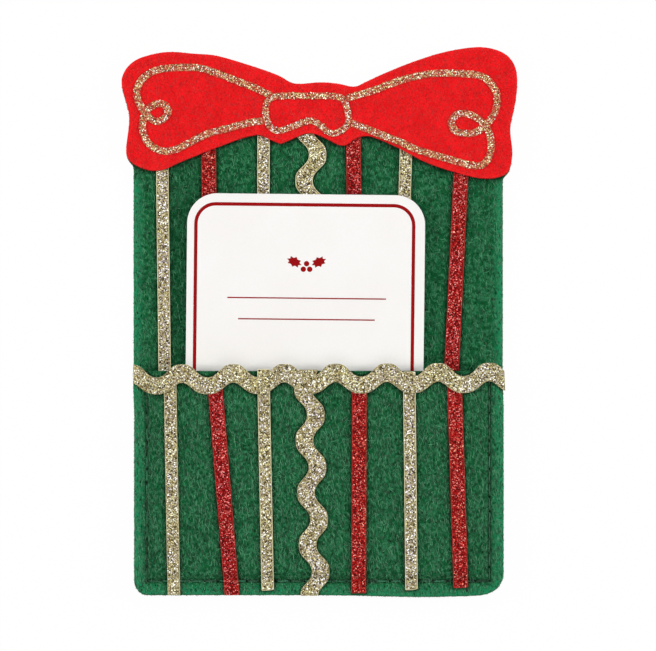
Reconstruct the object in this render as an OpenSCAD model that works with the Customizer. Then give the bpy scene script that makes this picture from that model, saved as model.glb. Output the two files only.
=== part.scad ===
// Felt gift card holder, cut and trimmed like a wrapped present with a bow.
// It lies on its back: X runs to the right, Y up towards the bow, Z up off the back face.
// The origin is under the middle of the whole outline, on the back face.

/* [Felt body] */
// Width of the body below the bow
body_w = 83.9; // [78:0.1:92]
// Height from the bottom edge to the top of the bow
total_h = 124.3; // [116:0.1:136]
// Thickness of the green felt
felt_t = 2; // [1.4:0.1:3]
// How far the body sits to the right of the middle of the bow
body_shift = -0.3; // [-1:0.1:1]
// Corner radius at the bottom left
left_corner_r = 3.2; // [1:0.1:5]
// Corner radius at the bottom right
right_corner_r = 4.8; // [1:0.1:6]

/* [Pocket] */
// Height of the pocket from the bottom edge to its mouth
pocket_h = 50.8; // [44:0.1:58]
// Width over which each side of the pocket swells up from the seam
shoulder_w = 6; // [4:0.1:9]
// Length over which the bottom of the pocket swells up from the seam
foot_l = 2.2; // [1.6:0.1:4]
// Length below the mouth over which the pocket stays level
lip_l = 8; // [6.5:0.1:12]
// Thickest card that the pocket takes
slot_card_t = 0.76; // [0.4:0.01:1.2]

/* [Seam] */
// Distance of the stitch line from the edge of the felt
seam_inset = 3.1; // [2:0.1:4.5]
// Length of one stitch
stitch_pitch = 3.2; // [2:0.1:5]
// Space between two stitches, where the needle went in
stitch_gap = 0.6; // [0.3:0.05:1]
// Thickness of the thread
thread_d = 0.4; // [0.2:0.05:0.6]

/* [Insert card] */
// Width of the card
card_w = 53.98; // [50:0.01:60]
// Height of the card
card_h = 85.6; // [80:0.1:90]
// Thickness of the card
card_t = 0.5; // [0.3:0.05:0.76]
// Corner radius of the card
card_corner_r = 6.8; // [3:0.1:12]
// How far the card sits to the right of the middle of the pocket
card_shift = -2.9; // [-8:0.1:8]
// Height of the card's lower edge above the bottom stitch line
card_foot = 2.4; // [1.8:0.1:4]
// Turn of the card in the pocket, clockwise in degrees
card_turn = 0.6; // [0:0.1:1]

/* [Bow] */
// Width of the bow
bow_w = 89.8; // [86:0.1:98]
// Height of the bow
bow_h = 29.9; // [26:0.1:34]
// Thickness of the red felt
bow_t = 1.6; // [1.2:0.1:2.5]
// How far the green felt behind the bow sits lower than the bow
backing_drop = 0.4; // [0:0.1:1]
// Width of the glitter line on the bow
line_w = 1.65; // [1.2:0.05:2.2]
// Thickness of the glitter line
line_t = 0.25; // [0.1:0.05:0.5]

/* [Glitter strips] */
// Thickness of the glitter sheet
strip_t = 0.7; // [0.4:0.05:1]
// Width of a gold strip
gold_strip_w = 2.8; // [2:0.1:3.6]
// Width of a red strip
red_strip_w = 3.3; // [2.4:0.1:4.4]
// Distance of the first strip from the left edge of the body
first_strip_in = 8.4; // [7.5:0.1:10]
// Distance of the last strip from the right edge of the body
last_strip_in = 11.1; // [9:0.1:13]
// How far the strips on the back run up under the bow
bow_tuck = 4; // [2:0.1:6]
// How far the strips on the back run down into the pocket
pocket_tuck = 8.8; // [4:0.1:12]

/* [Ric-rac] */
// Width of the upright ric-rac, measured straight across
wave_w = 4.15; // [3:0.05:5]
// How far the upright ric-rac on the pocket swings to each side
wave_swing = 1.3; // [0.6:0.05:1.4]
// How far the upright ric-rac on the back swings to each side
back_wave_swing = 1.45; // [0.6:0.05:1.6]
// Length of one wave of the upright ric-rac
wave_pitch = 11.85; // [11:0.05:14]
// Width of the ric-rac along the mouth, measured straight up
trim_w = 4.3; // [3.2:0.1:4.7]
// How far the ric-rac along the mouth swings up and down
trim_swing = 1.4; // [0.6:0.05:1.4]
// Length of one wave of the ric-rac along the mouth
trim_pitch = 11.6; // [11:0.05:14]
// Distance of the middle of the ric-rac below the edge of the mouth
trim_drop = 1.9; // [1:0.05:2.5]
// Distance of its first crest from the left edge of the body
trim_crest_in = 11.1; // [6:0.1:12]

/* [Clearances] */
// Glue between two pieces
glue_t = 0.05; // [0.02:0.01:0.1]
// Space above and below a card in the pocket
card_gap = 0.15; // [0.1:0.01:0.3]
// Space under the card where it slides over the strips
slide_gap = 0.2; // [0.1:0.01:0.4]
// Space under the card where it slides over the bow
bow_gap = 0.3; // [0.2:0.01:0.6]
// Space beside a strip in its channel under the bow
channel_gap = 0.3; // [0.1:0.05:0.5]
// Space above a strip in its channel under the bow
channel_rise = 0.15; // [0.05:0.05:0.3]
// Space between the stitch groove and the swelling of the pocket
seam_gap = 0.1; // [0.05:0.05:0.4]

/* [Hidden] */

green = "#1c6840";
red = "#e81c20";
gold = "#b3a678";
dark_red = "#b4232a";
white = "#f7f5f2";
thread_green = "#17603a";

// Main places
top_y = total_h / 2;
bottom_y = -total_h / 2;
mouth_y = bottom_y + pocket_h;
body_x0 = body_shift - body_w / 2;
body_x1 = body_shift + body_w / 2;
bow_low_y = top_y - bow_h;
far = total_h;
// How far a cutting shape runs past what it cuts
over = 1;

// Steps along one stretch of a curve, a corner, the swelling and one wave
spline_steps = 4;
arc_steps = 8;
swell_steps = 5;
wave_steps = 18;
thread_sides = 8;

// Seam
groove_w = 2 * thread_d;
groove_d = thread_d + glue_t;
seam_x0 = body_x0 + seam_inset;
seam_x1 = body_x1 - seam_inset;
seam_y = bottom_y + seam_inset;
cavity_in = groove_w / 2 + seam_gap;
cavity_x0 = seam_x0 + cavity_in;
cavity_x1 = seam_x1 - cavity_in;
cavity_y0 = seam_y + cavity_in;

// Bow outline and glitter lines, drawn by hand on a bow of this size,
// with X from its middle and Y from its lowest point
drawn_bow = [89.8, 29.9];
bow_points = [
    [-41.6, 3], [-43.4, 4.5], [-43.9, 6.9], [-43.2, 14.3], [-44.9, 21], [-44.4, 24.1],
    [-42.5, 26.4], [-39.6, 27.8], [-34.5, 28.8], [-28.5, 28.4], [-22.7, 27.8], [-13.2, 24.9],
    [-9, 23.3], [-5.6, 21.6], [0, 21.9], [4.2, 21.6], [7.9, 20.9], [10.7, 22.1], [15.1, 24.1],
    [21.1, 26.5], [28.5, 28.8], [36.4, 29.9], [41.7, 28.6], [44.3, 25.7], [44.9, 21.8], [44.4, 17],
    [43.3, 11.5], [43.8, 5.9], [43, 1.9], [40.9, 0.4], [37.8, 0], [33.3, 0.7], [24.6, 3.5],
    [17.6, 7.1], [12.2, 9.4], [9.9, 9.6], [8, 9], [5.3, 7.4], [1, 9.3], [-1, 10.1],
    [-3.4, 10.1], [-8, 8.2], [-9.2, 8], [-13.2, 9.7], [-14.8, 9.8], [-18.9, 8.7],
    [-30.7, 4.1], [-35.4, 2], [-38.7, 1.9]
];
bow_outline = closed_curve(on_bow(bow_points));
left_line_over = [
    [-10.2, 18.3], [-11.8, 19.2], [-14.8, 20.7], [-18, 21.9], [-24, 24.2], [-28, 25.2], [-34, 25.1],
    [-37.6, 24.4], [-40.3, 22.5], [-41.5, 19.7], [-40.5, 16.3], [-37.7, 13.2], [-35.6, 13.4],
    [-34.3, 15.1], [-34.9, 16.6]
];
left_line_under = [
    [-34.3, 15.1], [-34.9, 16.6], [-36.7, 17], [-38.8, 15.9], [-40, 13.5], [-40, 10.5],
    [-38.6, 7.8], [-35.6, 6.3], [-32, 6.9], [-25.9, 10], [-22, 11.1], [-16.4, 12.6],
    [-12, 13.3]
];
knot_line = [
    [-12.1, 16.8], [-10.9, 18.3], [-8.6, 18.8], [-2, 18.8], [3.7, 18.7], [5.5, 17.8],
    [6.2, 16], [6.6, 13.4], [5.8, 11.6], [3.5, 10.3], [1.7, 10.8], [-0.8, 12.8], [-2.6, 13.1],
    [-7.3, 11.4], [-9.6, 10.9], [-11.3, 11.9], [-12.2, 14.4]
];
right_line_over = [
    [6.1, 18.2], [12.4, 20.1], [19.3, 22.6], [26.3, 23.9], [33.2, 23.8], [36.9, 23.2],
    [39.2, 21.2], [40.3, 18.5], [39.5, 14.4], [36, 10.8], [33.2, 10.3], [30.7, 10.9],
    [29.9, 12.9]
];
right_line_under = [
    [30.7, 10.9], [29.9, 12.9], [31.5, 14.7], [34.2, 14.5], [37, 12.7], [38.6, 10],
    [38.9, 6.5], [37.7, 3.8], [35.3, 2.9], [29.1, 4.5], [22.1, 6.6], [18.6, 8.2],
    [11.7, 10.9], [6.6, 12.9]
];

// Strips from left to right. They were laid by hand, so each end lies off its even place.
strip_count = 7;
ricrac_no = 3;
strip_w = [
    gold_strip_w, red_strip_w, gold_strip_w, wave_w, red_strip_w, gold_strip_w, red_strip_w
];
back_off_top = [-1.9, -2.1, -0.3, -0.3, -1.45, -0.1, 1.75];
back_off_low = [-1.2, -1.5, -0.5, -0.4, -0.65, -1.8, -1];
pocket_off_top = [0, -0.65, -0.3, -0.8, -0.05, 0.5, 0];
pocket_off_low = [0.85, 3.3, 0.65, 0.7, -0.2, 1.05, 1.5];
// Height of the lower end above the bottom edge, and the slant of its cut
pocket_end_in = [0, -0.1, 1, -0.2, 0.4, 1.1, 1.6];
pocket_end_slant = [0, 0, 0.3, 0, 0, 0.5, 0.3];
strip_pitch = (body_w - first_strip_in - last_strip_in) / (strip_count - 1);
// Edges of the upright ric-rac: shares of the swing for one, two and three waves on each length
wave_shape = [1.14, -0.08, -0.08];
// First crest of each upright ric-rac, below the bow and below the mouth
back_crest_below = 4.8;
pocket_crest_below = 9.9;

// Slope of the card, so that it slides clear of the strips and of the bow
card_z = felt_t + card_gap;
card_x = body_shift + card_shift;
card_y0 = seam_y + card_foot;
strip_low_y = mouth_y - pocket_tuck;
strip_top_z = felt_t + glue_t + strip_t;
bow_z = felt_t + glue_t;
bow_top_z = bow_z + bow_t;
card_slope = max(
    (strip_top_z + slide_gap - card_z) / (strip_low_y - card_y0),
    (bow_top_z + line_t + bow_gap - card_z) / (bow_low_over_card() - card_y0)
);
card_lean = atan(card_slope);

// Rise of the pocket's inner face over the back panel, at the bottom, at the mouth
// and where the swelling of its two sides would end without the level mouth
foot_rise = card_gap + slot_card_t + card_gap;
mouth_rise = foot_rise + card_slope * (mouth_y - card_y0);
side_crown = 0.5;
side_rise_max = mouth_rise + side_crown;
pocket_z = 2 * felt_t;

// Ric-rac along the mouth, with the ramp on which it climbs over a strip
trim_y = mouth_y - trim_drop;
trim_ramp = 1.6;
trim_side_gap = 0.3;
trim_steps = 110;
// How far its right end lies above its middle
trim_tilt = 0.2;
// Its lower edge is sharp at the crests and its upper edge is broad at the crests and valleys:
// shares of the swing for one, two and three waves on each length
trim_low_shape = [0.94, 0.16, 0];
trim_top_shape = [1.14, -0.08, -0.08];
// Its right end hangs over the edge of the body and is cut at a slant
trim_over = 0.1;
trim_over_slant = 0.5;
trim_x0 = body_x0;
trim_x1 = body_x1 + trim_over + trim_over_slant;

// Curves
function spline_at(a, b, c, d, t) =
    0.5 * (2 * b + (c - a) * t + (2 * a - 5 * b + 4 * c - d) * t * t
        + (3 * b - a - 3 * c + d) * t * t * t);
function closed_curve(p) = let (n = len(p))
    [for (i = [0:n - 1], s = [0:spline_steps - 1])
        spline_at(p[(i + n - 1) % n], p[i], p[(i + 1) % n], p[(i + 2) % n], s / spline_steps)];
function open_curve(p) = let (n = len(p))
    [for (i = [0:n - 2], s = [0:(i == n - 2 ? spline_steps : spline_steps - 1)])
        spline_at(p[max(i - 1, 0)], p[i], p[i + 1], p[min(i + 2, n - 1)], s / spline_steps)];
function reversed(p) = [for (i = [len(p) - 1:-1:0]) p[i]];
function side_of(a, b) = [a.y - b.y, b.x - a.x] / norm(b - a);
function beside_open(p, w) = let (n = len(p))
    [for (i = [0:n - 1]) p[i] + w * side_of(p[max(i - 1, 0)], p[min(i + 1, n - 1)])];
function beside_closed(p, w) = let (n = len(p))
    [for (i = [0:n - 1]) p[i] + w * side_of(p[(i + n - 1) % n], p[(i + 1) % n])];
function ribbon(p, w) = concat(beside_open(p, w / 2), reversed(beside_open(p, -w / 2)));
function arc(c, r, from, to) =
    [for (i = [0:arc_steps]) let (a = from + (to - from) * i / arc_steps) c + r * [cos(a), sin(a)]];

// Bow
function on_bow(points) =
    [for (p = points) [p.x * bow_w / drawn_bow.x, bow_low_y + p.y * bow_h / drawn_bow.y]];
function low_edge(x) = let (
        n = len(bow_outline),
        at = max(min([for (p = bow_outline) p.x]), min(max([for (p = bow_outline) p.x]), x))
    )
    min([for (i = [0:n - 1]) let (a = bow_outline[i], b = bow_outline[(i + 1) % n])
        if (a.x != b.x && (a.x - at) * (b.x - at) <= 0) a.y + (b.y - a.y) * (at - a.x) / (b.x - a.x)]);
function bow_low_over_card() =
    min([for (x = [-card_w / 2:card_w / 16:card_w / 2]) low_edge(card_x + x)]);

// Even place of a strip, and the outline of a strip between two heights
function strip_x(i) = body_x0 + first_strip_in + i * strip_pitch;
function wave_edge(side, top, low, crest_y, swing, w) =
    let (n = wave_steps * ceil((top.y - low.y) / wave_pitch))
    [for (s = [0:n]) let (
            p = top + (low - top) * s / n,
            turn = 360 * (p.y - crest_y) / wave_pitch
        )
        p + [side * w / 2 + swing * (wave_shape[0] * cos(turn)
            + side * wave_shape[1] * cos(2 * turn) + wave_shape[2] * cos(3 * turn)), 0]];
function strip_shape(i, top, low, crest_y, swing, w) = i == ricrac_no
    ? concat(wave_edge(-1, top, low, crest_y, swing, w), reversed(wave_edge(1, top, low, crest_y, swing, w)))
    : ribbon([top, low], w);
function back_shape(i, w, rise = 0) = let (
        x = strip_x(i) + back_off_top[i],
        edge = low_edge(x),
        top = [x, edge + bow_tuck],
        low = [strip_x(i) + back_off_low[i], strip_low_y]
    )
    strip_shape(i, top + rise * (top - low) / norm(top - low), low, edge - back_crest_below,
        back_wave_swing, w);
function pocket_shape(i) =
    strip_shape(i, [strip_x(i) + pocket_off_top[i], trim_y],
        [strip_x(i) + pocket_off_low[i], bottom_y + pocket_end_in[i]],
        mouth_y - pocket_crest_below, wave_swing, strip_w[i]);

// Swelling of the pocket, across and along, above its sewn edges
function swell(t) = sin(90 * max(0, min(1, t)));
function side_rise(x) = side_rise_max * swell(min(x - cavity_x0, cavity_x1 - x) / shoulder_w);
function across_profile(level, base, reach) = concat(
    [[cavity_x0 - reach, base]],
    reach > 0 ? [[cavity_x0 - reach, level]] : [],
    [for (i = [0:swell_steps]) let (x = cavity_x0 + shoulder_w * i / swell_steps)
        [x, level + side_rise(x)]],
    [for (i = [swell_steps:-1:0]) let (x = cavity_x1 - shoulder_w * i / swell_steps)
        [x, level + side_rise(x)]],
    reach > 0 ? [[cavity_x1 + reach, level]] : [],
    [[cavity_x1 + reach, base]]
);
function along_profile(level, base, reach) = concat(
    [[cavity_y0 - reach, base]],
    reach > 0 ? [[cavity_y0 - reach, level]] : [],
    [for (i = [0:swell_steps])
        [cavity_y0 + foot_l * i / swell_steps, level + foot_rise * swell(i / swell_steps)]],
    [[mouth_y - lip_l, level + mouth_rise], [far, level + mouth_rise], [far, base]]
);
// Everything under the pocket's surface when its sewn edges lie at a level
module under_surface(level, base, reach) {
    intersection() {
        rotate([90, 0, 0])
            linear_extrude(2 * far, center = true) polygon(across_profile(level, base, reach));
        rotate([90, 0, 90])
            linear_extrude(2 * far, center = true) polygon(along_profile(level, base, reach));
    }
}

// Body outline: its two rounded corners, then the mouth or the bow's outline above them
function bottom_corners() = concat(
    arc([body_x0 + left_corner_r, bottom_y + left_corner_r], left_corner_r, 180, 270),
    arc([body_x1 - right_corner_r, bottom_y + right_corner_r], right_corner_r, 270, 360)
);
function side_top(x) = low_edge(x < body_shift ? body_x0 : body_x1);
function above_body(p) = p.x < body_x0 || p.x > body_x1
    || p.y > max(low_edge(p.x) + glue_t, side_top(p.x));
function first_above() = let (n = len(bow_outline))
    [for (i = [0:n - 1]) if (!above_body(bow_outline[(i + n - 1) % n]) && above_body(bow_outline[i])) i][0];
function backing_points() = let (n = len(bow_outline), first = first_above())
    concat(
        [[body_x0, low_edge(body_x0) - backing_drop]],
        [for (i = [0:n - 1]) let (p = bow_outline[(first + i) % n])
            if (above_body(p)) p - [0, backing_drop]],
        [[body_x1, low_edge(body_x1) - backing_drop]]
    );

// Stitch line: groove and stitches down the left, along the bottom and up the right
module groove_run(a, b, z, h) {
    translate([min(a.x, b.x) - groove_w / 2, min(a.y, b.y) - groove_w / 2, z])
        cube([abs(b.x - a.x) + groove_w, abs(b.y - a.y) + groove_w, h]);
}
module seam_groove(z, h) {
    groove_run([seam_x0, mouth_y + groove_w], [seam_x0, seam_y], z, h);
    groove_run([seam_x0, seam_y], [seam_x1, seam_y], z, h);
    groove_run([seam_x1, mouth_y + groove_w], [seam_x1, seam_y], z, h);
}
module stitch_row(a, b, z) {
    n = round(norm(b - a) / stitch_pitch);
    step = norm(b - a) / n;
    for (i = [0:n - 1])
        translate([a.x, a.y, z] + concat((b - a) * i / n, [0]))
            rotate([0, 90, atan2(b.y - a.y, b.x - a.x)])
                translate([0, 0, stitch_gap / 2])
                    cylinder(h = step - stitch_gap, d = thread_d, $fn = thread_sides);
}
module seam_stitches(z) {
    stitch_row([seam_x0, mouth_y], [seam_x0, seam_y], z);
    stitch_row([seam_x0, seam_y], [seam_x1, seam_y], z);
    stitch_row([seam_x1, mouth_y], [seam_x1, seam_y], z);
}

// Felt pieces
module back_panel() {
    color(green)
        difference() {
            linear_extrude(felt_t)
                polygon(concat(bottom_corners(), reversed(backing_points())));
            seam_groove(-over, over + groove_d);
        }
}
module pocket_panel() {
    color(green)
        difference() {
            intersection() {
                translate([0, 0, felt_t])
                    linear_extrude(pocket_z + side_rise_max)
                        polygon(concat(bottom_corners(), [[body_x1, mouth_y], [body_x0, mouth_y]]));
                under_surface(pocket_z, 0, far);
            }
            under_surface(felt_t, felt_t - over, 0);
            seam_groove(pocket_z - groove_d, groove_d + over);
        }
}
module bow() {
    color(red)
        difference() {
            translate([0, 0, bow_z]) linear_extrude(bow_t) polygon(bow_outline);
            linear_extrude(strip_top_z + channel_rise)
                for (i = [0:strip_count - 1]) channel_plan(i);
        }
}
// Channel in the underside of the bow, in which the top end of a strip lies
module channel_plan(i) {
    polygon(back_shape(i, strip_w[i] + 2 * channel_gap, channel_gap));
}

// Glitter lines on the bow
module glitter_line() {
    color(gold) translate([0, 0, bow_top_z]) linear_extrude(line_t) children();
}
module knot_plan(w) {
    polygon(beside_closed(closed_curve(on_bow(knot_line)), w / 2));
}
module loop_plan(over, under) {
    difference() {
        union() {
            polygon(ribbon(open_curve(on_bow(over)), line_w));
            polygon(ribbon(open_curve(on_bow(under)), line_w));
        }
        knot_plan(line_w + glue_t);
    }
}
module bow_line_left() {
    glitter_line() loop_plan(left_line_over, left_line_under);
}
module bow_line_right() {
    glitter_line() loop_plan(right_line_over, right_line_under);
}
module bow_line_knot() {
    glitter_line()
        difference() {
            knot_plan(line_w);
            knot_plan(-line_w);
        }
}

// Strips on the back panel lie flat
module back_strip(i, tint) {
    color(tint)
        translate([0, 0, felt_t + glue_t])
            linear_extrude(strip_t) polygon(back_shape(i, strip_w[i]));
}
module back_gold_strip_1() back_strip(0, gold);
module back_red_strip_1() back_strip(1, dark_red);
module back_gold_strip_2() back_strip(2, gold);
module back_ricrac() back_strip(ricrac_no, gold);
module back_red_strip_2() back_strip(4, dark_red);
module back_gold_strip_3() back_strip(5, gold);
module back_red_strip_3() back_strip(6, dark_red);

// Strips on the pocket run from under the mouth's ric-rac down over the swelling to the bottom edge
module cut_end(i) {
    y = bottom_y + pocket_end_in[i];
    x = strip_x(i) + pocket_off_low[i];
    w = strip_w[i];
    slant = pocket_end_slant[i];
    polygon([[x - w, y - w], [x + w, y - w], [x + w, y + slant], [x - w, y - slant]]);
}
module pocket_strip(i, tint) {
    color(tint)
        difference() {
            intersection() {
                linear_extrude(far)
                    difference() {
                        polygon(pocket_shape(i));
                        cut_end(i);
                    }
                under_surface(pocket_z + glue_t + strip_t, 0, far);
            }
            under_surface(pocket_z + glue_t, -over, far + over);
        }
}
module pocket_gold_strip_1() pocket_strip(0, gold);
module pocket_red_strip_1() pocket_strip(1, dark_red);
module pocket_gold_strip_2() pocket_strip(2, gold);
module pocket_ricrac() pocket_strip(ricrac_no, gold);
module pocket_red_strip_2() pocket_strip(4, dark_red);
module pocket_gold_strip_3() pocket_strip(5, gold);
module pocket_red_strip_3() pocket_strip(6, dark_red);

// Ric-rac along the mouth, which climbs over the end of each strip below it
function climb(x, i) = let (
        half = strip_w[i] / 2 + (i == ricrac_no ? wave_shape[0] * wave_swing : 0) + trim_side_gap,
        away = (abs(x - strip_x(i) - pocket_off_top[i]) - half) / trim_ramp
    )
    away <= 0 ? 1 : away >= 1 ? 0 : (1 + cos(180 * away)) / 2;
function trim_low_z(x) = pocket_z + glue_t + min(side_rise(x), mouth_rise)
    + (strip_t + glue_t) * max([for (i = [0:strip_count - 1]) climb(x, i)]);
function along_trim(t) = trim_x0 - over + (trim_x1 - trim_x0 + 2 * over) * t;
// Where the swelling of the two sides reaches the level of the mouth
level_in = shoulder_w * asin(mouth_rise / side_rise_max) / 90;
level_at = [cavity_x0 + level_in, cavity_x1 - level_in];
function trim_profile() = let (
        even = [for (s = [0:trim_steps]) along_trim(s / trim_steps)],
        xs = [for (i = [0:trim_steps], x = concat(
            [even[i]],
            [for (x = level_at) if (i < trim_steps && x > even[i] && x < even[i + 1]) x]
        )) x],
        low = [for (x = xs) [x, trim_low_z(x)]],
        high = [for (p = low) p + [0, strip_t]]
    )
    concat(low, reversed(high));
function trim_edge(side, shape) = let (n = wave_steps * ceil((trim_x1 - trim_x0) / trim_pitch))
    [for (s = [0:n]) let (
            x = along_trim(s / n),
            turn = 360 * (x - body_x0 - trim_crest_in) / trim_pitch
        )
        [x, trim_y + trim_tilt * (x - body_shift) / (body_w / 2) + side * trim_w / 2
            + trim_swing * (shape[0] * cos(turn) + shape[1] * cos(2 * turn) + shape[2] * cos(3 * turn))]];
module trim_plan() {
    reach = trim_w + trim_swing;
    intersection() {
        polygon(concat(trim_edge(-1, trim_low_shape), reversed(trim_edge(1, trim_top_shape))));
        polygon([
            [trim_x0, trim_y - reach], [trim_x1, trim_y - reach],
            [trim_x1 - trim_over_slant, trim_y + reach], [trim_x0, trim_y + reach]
        ]);
    }
}
module mouth_ricrac() {
    color(gold)
        intersection() {
            linear_extrude(far) trim_plan();
            rotate([90, 0, 0]) linear_extrude(2 * far, center = true) polygon(trim_profile());
        }
}

// Threads of the seam, each sunk in its groove
module front_thread() {
    color(thread_green) seam_stitches(pocket_z - glue_t / 2 - thread_d / 2);
}
module back_thread() {
    color(thread_green) seam_stitches(glue_t / 2 + thread_d / 2);
}

// Card, which leans so that it slides out over the bow
module insert_card() {
    r = card_corner_r;
    w = card_w / 2;
    color(white)
        translate([card_x, card_y0, card_z])
            rotate([card_lean, 0, 0])
                translate([0, card_h / 2, 0])
                    rotate([0, 0, -card_turn])
                        linear_extrude(card_t)
                            polygon(concat(
                                arc([-w + r, r - card_h / 2], r, 180, 270),
                                arc([w - r, r - card_h / 2], r, 270, 360),
                                arc([w - r, card_h / 2 - r], r, 0, 90),
                                arc([-w + r, card_h / 2 - r], r, 90, 180)
                            ));
}

back_panel();
pocket_panel();
bow();
bow_line_left();
bow_line_knot();
bow_line_right();
back_gold_strip_1();
back_red_strip_1();
back_gold_strip_2();
back_ricrac();
back_red_strip_2();
back_gold_strip_3();
back_red_strip_3();
pocket_gold_strip_1();
pocket_red_strip_1();
pocket_gold_strip_2();
pocket_ricrac();
pocket_red_strip_2();
pocket_gold_strip_3();
pocket_red_strip_3();
mouth_ricrac();
front_thread();
back_thread();
insert_card();
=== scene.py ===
import math
import bpy
import numpy as np
from mathutils import Matrix, Vector
from mathutils.bvhtree import BVHTree
from mathutils.kdtree import KDTree


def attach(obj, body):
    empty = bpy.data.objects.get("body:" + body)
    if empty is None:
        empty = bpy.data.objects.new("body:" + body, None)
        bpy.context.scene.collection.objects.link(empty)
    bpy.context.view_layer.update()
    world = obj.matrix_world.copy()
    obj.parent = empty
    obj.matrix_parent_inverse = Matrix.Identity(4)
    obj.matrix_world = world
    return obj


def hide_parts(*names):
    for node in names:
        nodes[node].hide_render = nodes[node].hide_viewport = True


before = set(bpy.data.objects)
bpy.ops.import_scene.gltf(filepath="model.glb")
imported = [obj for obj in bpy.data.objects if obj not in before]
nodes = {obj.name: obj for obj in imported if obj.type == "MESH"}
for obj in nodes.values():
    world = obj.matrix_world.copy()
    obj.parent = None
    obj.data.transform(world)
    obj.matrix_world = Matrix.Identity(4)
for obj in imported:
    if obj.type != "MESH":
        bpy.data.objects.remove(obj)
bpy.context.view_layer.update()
mm = 0.001
print("frame loaded,", len(nodes), "nodes")


# selection, modifiers and reading meshes
def makeActive(obj):
    if bpy.context.mode != "OBJECT":
        bpy.ops.object.mode_set(mode="OBJECT")
    bpy.ops.object.select_all(action="DESELECT")
    obj.select_set(True)
    bpy.context.view_layer.objects.active = obj


def applyModifier(obj, kind, **settings):
    makeActive(obj)
    modifier = obj.modifiers.new(kind.title(), kind)
    for key, value in settings.items():
        setattr(modifier, key, value)
    bpy.ops.object.modifier_apply(modifier=modifier.name)


def editAll(obj):
    makeActive(obj)
    bpy.ops.object.mode_set(mode="EDIT")
    bpy.ops.mesh.select_all(action="SELECT")


def backToObject():
    bpy.ops.object.mode_set(mode="OBJECT")


def newObject(name, mesh):
    obj = bpy.data.objects.new(name, mesh)
    bpy.context.scene.collection.objects.link(obj)
    return obj


def copyOfNode(node, name):
    mesh = nodes[node].data.copy()
    mesh.name = name
    mesh.materials.clear()
    obj = newObject(name, mesh)
    editAll(obj)
    bpy.ops.mesh.remove_doubles(threshold=0.002 * mm)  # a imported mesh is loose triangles
    backToObject()
    return obj


def readPoints(obj):
    points = np.empty(len(obj.data.vertices) * 3)
    obj.data.vertices.foreach_get("co", points)
    return points.reshape(-1, 3)


def writePoints(obj, points):
    obj.data.vertices.foreach_set("co", points.ravel())
    obj.data.update()


def readNormals(obj):
    normals = np.empty(len(obj.data.vertices) * 3, np.float32)
    obj.data.vertex_normals.foreach_get("vector", normals)
    return normals.reshape(-1, 3).astype(float)


def readTriangles(obj):
    obj.data.calc_loop_triangles()
    corners = np.empty(len(obj.data.loop_triangles) * 3, np.int32)
    obj.data.loop_triangles.foreach_get("vertices", corners)
    return readPoints(obj)[corners.reshape(-1, 3)]


def treeOf(objects):
    points, faces = [], []
    for obj in objects:
        start = len(points)
        points += [v.co.copy() for v in obj.data.vertices]
        faces += [[start + i for i in p.vertices] for p in obj.data.polygons]
    return BVHTree.FromPolygons(points, faces)


# a search tree of places seen from above, and how far points lie from them
def flatTree(spots):
    tree = KDTree(len(spots))
    for i, spot in enumerate(spots):
        tree.insert((spot[0], spot[1], 0), i)
    tree.balance()
    return tree


def awayFrom(tree, points):
    return np.array([tree.find((p[0], p[1], 0))[2] for p in points])


def writeMark(obj, name, values, domain="POINT"):
    mark = obj.data.attributes.new(name, "FLOAT", domain)
    mark.data.foreach_set("value", np.array(values, np.float32))


def finishPiece(obj, material, body="holder", replaces=()):
    obj.data.materials.clear()
    obj.data.materials.append(material)
    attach(obj, body)
    if replaces:
        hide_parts(*replaces)
    print("piece", obj.name, len(obj.data.polygons), "faces")


# material nodes
def newMaterial(name):
    material = bpy.data.materials.new(name)
    material.use_nodes = True
    tree = material.node_tree
    return material, tree, tree.nodes["Principled BSDF"]


def addNode(tree, kind, inputs=None, **settings):
    made = tree.nodes.new(kind)
    for key, value in settings.items():
        setattr(made, key, value)
    for key, value in (inputs or {}).items():
        if isinstance(value, bpy.types.NodeSocket):
            tree.links.new(value, made.inputs[key])
        else:
            made.inputs[key].default_value = value
    return made


def addMath(tree, operation, *values):
    return addNode(tree, "ShaderNodeMath", dict(enumerate(values)), operation=operation).outputs[0]


def addVector(tree, operation, inputs):
    return addNode(tree, "ShaderNodeVectorMath", inputs, operation=operation).outputs[0]


def addMix(tree, factor, first, second):
    mixed = addNode(tree, "ShaderNodeMix", data_type="RGBA")
    for socket, value in zip((mixed.inputs[0], mixed.inputs[6], mixed.inputs[7]), (factor, first, second)):
        if isinstance(value, bpy.types.NodeSocket):
            tree.links.new(value, socket)
        else:
            socket.default_value = value
    return mixed.outputs[2]


def addRange(tree, value, low, high, first=0.0, last=1.0):
    inputs = {"Value": value, "From Min": low, "From Max": high, "To Min": first, "To Max": last}
    return addNode(tree, "ShaderNodeMapRange", inputs, interpolation_type="SMOOTHSTEP").outputs[0]


def addNoise(tree, vector, scale, detail=2.0):
    return addNode(tree, "ShaderNodeTexNoise", {"Vector": vector, "Scale": scale, "Detail": detail})


def addPlace(tree):
    return addNode(tree, "ShaderNodeTexCoord").outputs["Object"]


def addMark(tree, name, output="Fac"):
    return addNode(tree, "ShaderNodeAttribute", attribute_name=name).outputs[output]


def addStretch(tree, vector, size, turn=0.0):
    inputs = {"Vector": vector, "Rotation": (0, 0, math.radians(turn)), "Scale": size}
    return addNode(tree, "ShaderNodeMapping", inputs, vector_type="TEXTURE").outputs[0]


def finishShader(tree, shader, sockets, height=None, strength=1.0, distance=0.0):
    if height is not None:
        bump = addNode(tree, "ShaderNodeBump", {"Height": height, "Strength": strength, "Distance": distance})
        tree.links.new(bump.outputs[0], shader.inputs["Normal"])
    for key, value in sockets.items():
        shader.inputs[key].default_value = value


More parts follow.
